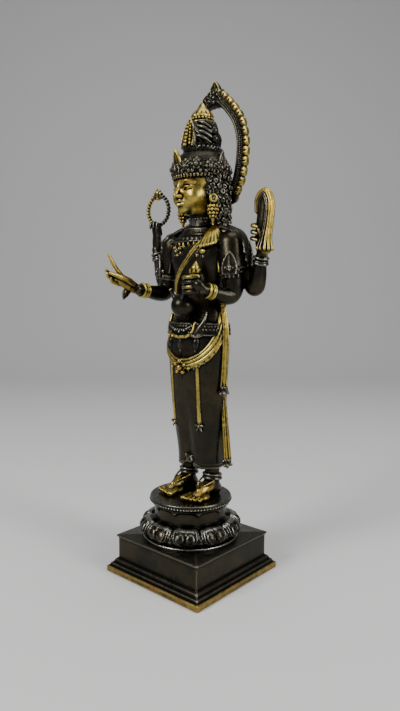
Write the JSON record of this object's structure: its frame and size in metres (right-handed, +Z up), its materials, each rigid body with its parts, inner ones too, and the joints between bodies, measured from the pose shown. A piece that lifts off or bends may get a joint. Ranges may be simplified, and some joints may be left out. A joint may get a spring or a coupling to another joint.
{
  "type": "brahma figure",
  "caption": "Cast bronze figure of Brahma standing with an aureole, crown and held attributes, on a round lotus pedestal and a square stepped plinth.",
  "frame": {"origin": "centre of the plinth's underside", "axes": "+Z up along the figure, the figure faces -Y, and its own left hand is at +X"},
  "size_m": [0.1365, 0.1109, 0.4],
  "materials": {
    "plinth_bronze": "dark brown patina on cast bronze, rubbed to yellow metal along the lower rim",
    "pedestal_bronze": "dark brown patina on cast bronze, grey and shiny on the swell of the petals",
    "figure_bronze": "dark brown patina on cast bronze, rubbed to yellow metal on the face, crown, jewellery, sashes and hands"
  },
  "bodies": {
    "root": {"plinth": "plinth_bronze", "lotus_pedestal": "pedestal_bronze", "figure": "figure_bronze"}
  },
  "joints": []
}
